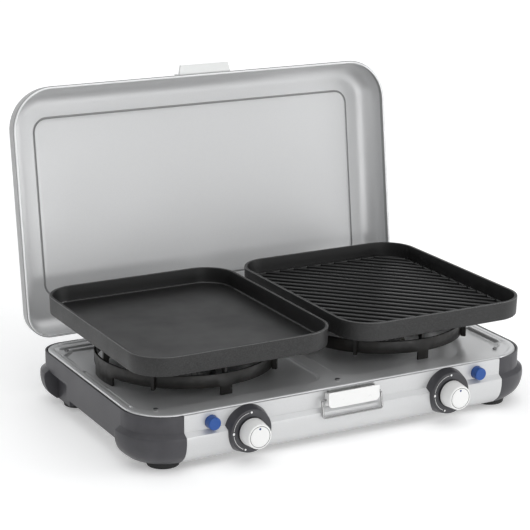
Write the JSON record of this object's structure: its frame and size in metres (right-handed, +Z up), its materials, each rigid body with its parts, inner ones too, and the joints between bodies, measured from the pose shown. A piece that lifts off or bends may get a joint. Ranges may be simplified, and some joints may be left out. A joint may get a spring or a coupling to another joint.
{
  "type": "folding camp grill",
  "caption": "Portable two-burner gas camp grill with a lid that folds back, flat and ribbed cooking plates on pan supports, knobs, piezo buttons and a toggle latch.",
  "frame": {"origin": "on the surface the feet stand on, under the middle of the whole object with its lid open", "axes": "+X to the user's right along the case, -Y towards the user, +Z up"},
  "size_m": [0.5436, 0.4322, 0.3843],
  "materials": {
    "hob_sheet": "satin silver paint",
    "tray_sheet": "plain zinc-plated sheet",
    "panel_sheet": "smooth pale silver paint",
    "foot_rubber": "matt black rubber",
    "screw_steel": "bright zinc",
    "screw_dark": "blackened steel",
    "pipe_metal": "drawn tube",
    "valve_brass": "turned brass",
    "latch_steel": "bright plated sheet",
    "latch_white": "gloss white paint",
    "wire_steel": "bright plated wire",
    "lid_sheet": "satin silver paint",
    "catch_plastic": "pale grey plastic",
    "hinge_steel": "plated sheet",
    "plate_coating": "black non-stick coating on die-cast alloy",
    "cap_plastic": "fine-grained dark grey moulding",
    "burner_alloy": "cast alloy",
    "burner_enamel": "black enamel",
    "ceramic_white": "glazed ceramic",
    "spindle_steel": "turned steel",
    "igniter_plastic": "black moulding",
    "button_blue": "deep blue moulding",
    "lead_rubber": "silicone sleeve",
    "bezel_plastic": "dark grey moulding",
    "knob_plastic": "white moulding",
    "support_enamel": "brown-black vitreous enamel"
  },
  "bodies": {
    "root": {"hob_top_sheet": "hob_sheet", "base_tray": "tray_sheet", "front_panel": "panel_sheet", "back_panel": "panel_sheet", "rubber_feet": "foot_rubber", "foot_screws": "screw_steel", "hob_screws": "screw_dark", "gas_pipe_main": "pipe_metal", "gas_pipe_cross": "pipe_metal", "gas_inlet_fitting": "valve_brass", "latch_bracket": "latch_steel", "base_hinge_leaves": "hinge_steel", "hinge_pins": "screw_steel", "end_cap_left": "cap_plastic", "end_cap_right": "cap_plastic", "burner_body_left": "burner_alloy", "burner_body_right": "burner_alloy", "burner_head_left": "burner_alloy", "burner_head_right": "burner_alloy", "burner_cap_left": "burner_enamel", "burner_cap_right": "burner_enamel", "burner_clip_left": "tray_sheet", "burner_clip_right": "tray_sheet", "spark_electrode_left": "ceramic_white", "spark_electrode_right": "ceramic_white", "gas_valve_left": "valve_brass", "gas_valve_right": "valve_brass", "valve_bracket_left": "tray_sheet", "valve_bracket_right": "tray_sheet", "injector_left": "valve_brass", "injector_right": "valve_brass", "igniter_body_left": "igniter_plastic", "igniter_body_right": "igniter_plastic", "ignition_lead_left": "lead_rubber", "ignition_lead_right": "lead_rubber", "knob_bezel_left": "bezel_plastic", "knob_bezel_right": "bezel_plastic"},
    "lid": {"lid_shell": "lid_sheet", "lid_catch_tab": "catch_plastic", "lid_hinge_leaves": "hinge_steel"},
    "latch_lever": {"latch_lever": "latch_white"},
    "latch_bail": {"latch_bail": "wire_steel"},
    "plunger_left": {"valve_plunger_left": "valve_brass"},
    "knob_left": {"knob_left": "knob_plastic", "valve_spindle_left": "spindle_steel"},
    "button_left": {"igniter_button_left": "button_blue"},
    "support_left": {"pan_support_left": "support_enamel", "pan_fingers_left": "support_enamel"},
    "plunger_right": {"valve_plunger_right": "valve_brass"},
    "knob_right": {"knob_right": "knob_plastic", "valve_spindle_right": "spindle_steel"},
    "button_right": {"igniter_button_right": "button_blue"},
    "support_right": {"pan_support_right": "support_enamel", "pan_fingers_right": "support_enamel"},
    "griddle": {"griddle_plate": "plate_coating"},
    "grill": {"grill_plate": "plate_coating"}
  },
  "joints": [
    {"name": "lid_hinge", "type": "hinge", "parent": "root", "child": "lid", "pos_m": [0, 0.1314, 0.058], "axis": [-1, 0, 0], "range_deg": [-47, 0]},
    {"name": "latch_lever_hinge", "type": "hinge", "parent": "root", "child": "latch_lever", "pos_m": [0, -0.1885, 0.062], "axis": [-1, 0, 0], "range_deg": [0, 90]},
    {"name": "latch_bail_hinge", "type": "hinge", "parent": "latch_lever", "child": "latch_bail", "pos_m": [0, -0.1895, 0.0565], "axis": [-1, 0, 0], "range_deg": [0, 120]},
    {"name": "knob_push_left", "type": "slide", "parent": "root", "child": "plunger_left", "axis": [0, 1, 0], "range_m": [0, 0.003], "stiffness_N_per_m": 600, "springref_m": -0.002},
    {"name": "knob_turn_left", "type": "hinge", "parent": "plunger_left", "child": "knob_left", "pos_m": [-0.134, -0.2, 0.0385], "axis": [0, -1, 0], "range_deg": [0, 162]},
    {"name": "button_push_left", "type": "slide", "parent": "root", "child": "button_left", "axis": [0, 1, 0], "range_m": [0, 0.005], "stiffness_N_per_m": 800, "springref_m": -0.002},
    {"name": "support_lift_left", "type": "slide", "parent": "root", "child": "support_left", "axis": [0, 0, 1], "range_m": [0, 0.08]},
    {"name": "knob_push_right", "type": "slide", "parent": "root", "child": "plunger_right", "axis": [0, 1, 0], "range_m": [0, 0.003], "stiffness_N_per_m": 600, "springref_m": -0.002},
    {"name": "knob_turn_right", "type": "hinge", "parent": "plunger_right", "child": "knob_right", "pos_m": [0.134, -0.2, 0.0385], "axis": [0, -1, 0], "range_deg": [0, 162]},
    {"name": "button_push_right", "type": "slide", "parent": "root", "child": "button_right", "axis": [0, 1, 0], "range_m": [0, 0.005], "stiffness_N_per_m": 800, "springref_m": -0.002},
    {"name": "support_lift_right", "type": "slide", "parent": "root", "child": "support_right", "axis": [0, 0, 1], "range_m": [0, 0.08]},
    {"name": "griddle_lift", "type": "slide", "parent": "support_left", "child": "griddle", "axis": [0, 0, 1], "range_m": [0, 0.1]},
    {"name": "grill_lift", "type": "slide", "parent": "support_right", "child": "grill", "axis": [0, 0, 1], "range_m": [0, 0.1]}
  ]
}
